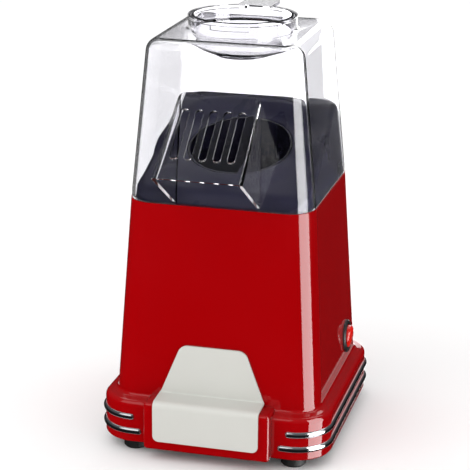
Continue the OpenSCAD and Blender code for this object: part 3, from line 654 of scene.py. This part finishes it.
cover = bridge(cover_rings, "clear_cover")
change(cover, "SOLIDIFY", thickness=cover_wall, offset=-1, use_even_offset=True)

chute_top = 0.2465
chute_lip = (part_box("top_cover")[0].y, 0.203)
chute_root = axis_y - cover_at(chute_top)[1]
chute_fall = (chute_top - chute_lip[1]) / (chute_root - chute_lip[0])
chute_foot_z = 0.1745
chute_half = (0.0273, 0.0294)
roof_corner = 0.0065
lip_corner = 0.003


def roof_at(y):
    return chute_top + (y - chute_root) * chute_fall


def chute_section(foot, head, half_head, half_foot, corner):
    """An upright outline with two rounded upper corners, between two places (y, z)."""
    only(None)
    bpy.ops.mesh.primitive_plane_add(size=2)
    section = bpy.context.object
    rise = math.hypot(head[0] - foot[0], head[1] - foot[1])
    bpy.ops.object.mode_set(mode="EDIT")
    bpy.ops.transform.resize(value=(half_foot, rise / 2, 1))
    bpy.ops.transform.translate(value=(0, rise / 2, 0))
    pick(section, lambda v: v.co.y > rise / 2)
    bpy.ops.transform.resize(value=(half_head / half_foot, 1, 1), center_override=(0, rise, 0))
    bpy.ops.mesh.bevel(offset=corner, segments=8, affect="VERTICES")
    bpy.ops.mesh.select_all(action="SELECT")
    bpy.ops.mesh.delete(type="ONLY_FACE")
    bpy.ops.object.mode_set(mode="OBJECT")
    section.location = (0, *foot)
    section.rotation_euler = (math.atan2(head[1] - foot[1], head[0] - foot[0]), 0, 0)
    return section


back_foot = (axis_y - cover_at(chute_foot_z)[1] + 0.001, chute_foot_z)
back_head = (chute_root + 0.001, roof_at(chute_root + 0.001))
mouth_foot = (back_foot[0] - 0.0025, chute_foot_z)
hood = bridge([chute_section(back_foot, back_head, chute_half[0], chute_half[1], roof_corner),
               chute_section(mouth_foot, chute_lip, chute_half[1], chute_half[1], lip_corner)],
              "hood", caps=True)
carve(cover, hood, "UNION")
skin = cover_wall * math.hypot(1, chute_fall)
inside_y = (axis_y - 0.048, axis_y - 0.125)
inside_foot = cover_low_z - 0.003
passage = bridge([
    chute_section((inside_y[0], inside_foot), (inside_y[0], roof_at(inside_y[0]) - skin),
                  chute_half[0] - cover_wall, chute_half[1] - cover_wall,
                  roof_corner - cover_wall),
    chute_section((inside_y[1], inside_foot), (inside_y[1], roof_at(inside_y[1]) - skin),
                  chute_half[1] - cover_wall, chute_half[1] - cover_wall, lip_corner / 2)],
    "passage", caps=True)
carve(cover, passage)

slot_count = 5
slot_pitch = 0.0093
slot_width = 0.0052
slot_length = 0.039
slot_start = 0.0135
slot_cut = 0.012
roof_angle = math.atan(chute_fall)
slot_tools = []
for k in range(slot_count):
    only(None)
    bpy.ops.mesh.primitive_plane_add(size=2)
    slot = bpy.context.object
    bpy.ops.object.mode_set(mode="EDIT")
    bpy.ops.transform.resize(value=(slot_width / 2, slot_length / 2, 1))
    bpy.ops.mesh.bevel(offset=slot_width / 2 * 0.995, segments=10, affect="VERTICES")
    bpy.ops.mesh.select_all(action="SELECT")
    bpy.ops.mesh.extrude_region_move(TRANSFORM_OT_translate={"value": (0, 0, slot_cut)})
    bpy.ops.mesh.select_all(action="SELECT")
    bpy.ops.transform.translate(value=(0, 0, -slot_cut / 2))
    bpy.ops.mesh.normals_make_consistent(inside=False)
    bpy.ops.object.mode_set(mode="OBJECT")
    down = slot_start + slot_length / 2
    slot.location = ((k - (slot_count - 1) / 2) * slot_pitch,
                     chute_root - down * math.cos(roof_angle),
                     chute_top - down * math.sin(roof_angle))
    slot.rotation_euler = (roof_angle, 0, 0)
    slot_tools.append(settle(slot))
only(slot_tools[0])
for slot in slot_tools:
    slot.select_set(True)
bpy.ops.object.join()
carve(cover, bpy.context.object)
notch_half = 0.013
notch_deep = 0.0028
bpy.ops.mesh.primitive_cube_add(size=1)
notch = bpy.context.object
notch.scale = (2 * notch_half, 0.03, 2 * notch_deep)
notch.location = (0, axis_y - neck_radius, neck_top_z)
carve(cover, settle(notch))
soften(cover, 0.0003, 40)
clear = finish("clear_polycarbonate", (0.955, 0.95, 0.975), (0.97, 0.965, 0.985), (0.0, 0.015),
               bump=0.004, Transmission_Weight=1.0, IOR=1.45)
dress(cover, clear)
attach(cover, "cover")
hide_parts("top_cover")


# ---------------------------------------------------------------- measuring cup
# A clear cup that hangs in the neck by its rim, with a flat thumb tab behind.
# It measures the corn, and serves as the cover's lid.
cup_low, cup_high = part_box("measuring_cup")
cup_radius = neck_radius - cover_wall - 0.0005
cup_wall = 0.0015
cup_bottom_radius = 0.0185
cup_shoulder = cup_low.z + 0.013
rim_thick = 0.0022
rim_step = cup_high.z - rim_thick
cup_foot_edge = 0.0012
cup_centre = 0.004


def bowl(bottom, side, low, steps=8):
    """Radius and height of points from the flat bottom, round its edge, to the upright side."""
    points = [(bottom - 0.003, low + hair), (bottom - 0.001, low + 0.0004)]
    for k in range(steps):
        t = k / (steps - 1)
        swell = 0.0012 * math.sin(math.pi * t)
        points.append((bottom + (side - bottom) * t + swell,
                       low + cup_foot_edge + (cup_shoulder - low - cup_foot_edge) * t - swell))
    return points


outside = bowl(cup_bottom_radius, cup_radius, cup_low.z)
outside += [(cup_radius, rim_step), (neck_radius, rim_step + hair),
            (neck_radius, cup_high.z - hair)]
inside = bowl(cup_bottom_radius - 0.0008, cup_radius - cup_wall, cup_low.z + cup_wall)
inside += [(cup_radius - cup_wall, cup_high.z)]
profile = [(cup_centre, cup_low.z), *outside, *inside[::-1],
           (cup_centre, cup_low.z + cup_wall)]
cup_rings = [round_ring(radius, z, 96) for radius, z in profile]
cup = bridge(cup_rings, "clear_cup", caps=True)
only(None)
bpy.ops.mesh.primitive_cube_add(size=1)
tab = bpy.context.object
tab_front = cup_radius * 0.97
tab_width = 0.0235
tab.scale = (tab_width, cup_high.y - axis_y - tab_front, rim_thick)
tab.location = (0, (cup_high.y + axis_y + tab_front) / 2, cup_high.z - rim_thick / 2)
settle(tab, "tab")
bpy.ops.object.mode_set(mode="EDIT")
bpy.ops.mesh.select_mode(type="EDGE")
bpy.ops.mesh.select_all(action="DESELECT")
bpy.ops.object.mode_set(mode="OBJECT")
for e in tab.data.edges:
    a, b = [tab.data.vertices[k].co for k in e.vertices]
    e.select = abs(a.z - b.z) > 0.001 and a.y > axis_y + 0.05
bpy.ops.object.mode_set(mode="EDIT")
bpy.ops.mesh.bevel(offset=0.003, segments=6)
bpy.ops.object.mode_set(mode="OBJECT")
carve(cup, tab, "UNION")
soften(cup, 0.0002, 40)
dress(cup, clear)
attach(cup, "cup")
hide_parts("measuring_cup")


# ---------------------------------------------------------------- made as drawn
# Pieces whose drawn shape is right keep it, and take their real finish.
chrome = finish("bright_chrome", (0.60, 0.60, 0.62), (0.66, 0.66, 0.68), (0.03, 0.08),
                metallic=1.0, bump=0.01)
for node in ("trim_upper_left", "trim_upper_right", "trim_lower_left", "trim_lower_right"):
    dress(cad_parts[node], chrome)
black = finish("black_moulding", (0.014, 0.014, 0.015), (0.02, 0.02, 0.022), (0.30, 0.42),
               pattern=grain, bump=0.10, worn=0.2)
rubber = finish("black_rubber", (0.012, 0.012, 0.012), (0.018, 0.018, 0.018), (0.55, 0.7),
                pattern=grain, bump=0.15)
steel = finish("zinc_steel", (0.50, 0.50, 0.49), (0.58, 0.58, 0.56), (0.28, 0.40),
               pattern=grain, bump=0.05, metallic=1.0, worn=0.2)
aluminium = finish("aluminium_sheet", (0.70, 0.70, 0.71), (0.76, 0.76, 0.77), (0.25, 0.38),
                   pattern=grain, bump=0.05, metallic=1.0)
coat = finish("dark_coat", (0.005, 0.005, 0.011), (0.009, 0.008, 0.019), (0.22, 0.32),
              pattern=grain, bump=0.08, Specular_IOR_Level=0.2)
white = finish("white_moulding", (0.72, 0.72, 0.69), (0.78, 0.78, 0.75), (0.40, 0.5),
               pattern=grain, bump=0.08)
lamp_red = finish("rocker_red", (0.75, 0.010, 0.006), (0.85, 0.018, 0.010), (0.10, 0.18),
                  bump=0.01)
mica = finish("mica_sheet", (0.50, 0.43, 0.30), (0.62, 0.56, 0.42), (0.35, 0.55), bump=0.1)
wire = finish("oxidised_wire", (0.16, 0.15, 0.14), (0.26, 0.24, 0.22), (0.4, 0.6), metallic=1.0)
copper = finish("varnished_copper", (0.42, 0.17, 0.07), (0.55, 0.25, 0.11), (0.25, 0.4),
                metallic=1.0)
ferrite = finish("ferrite", (0.05, 0.05, 0.052), (0.07, 0.07, 0.07), (0.5, 0.7), pattern=grain)
board = finish("circuit_board", (0.02, 0.13, 0.05), (0.03, 0.17, 0.07), (0.3, 0.4))
lead_red = finish("lead_cover", (0.35, 0.02, 0.02), (0.42, 0.03, 0.03), (0.35, 0.5), pattern=grain)
felt = finish("gasket_ring", (0.42, 0.35, 0.24), (0.5, 0.42, 0.3), (0.7, 0.85),
              pattern=grain, bump=0.2)
for node, material in {
        "base_plate": black, "feet": rubber, "base_screws": steel, "cord_gland": rubber,
        "switch_body": black, "switch_rocker": lamp_red, "deck_screws": steel,
        "chamber_gasket": felt, "popping_chamber": coat, "chamber_sleeve": coat, "heater_drum": aluminium,
        "mica_frame": mica, "heater_coil": wire, "thermostat": steel, "thermal_fuse": steel,
        "tie_rods": steel, "fan_housing": white, "fan": white, "motor_shaft": steel,
        "armature": copper, "motor_can": steel, "motor_magnets": ferrite,
        "motor_endcap": black, "motor_screws": steel, "diode_board": board,
        "terminal_block": white, "wiring": lead_red}.items():
    dress(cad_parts[node], material)
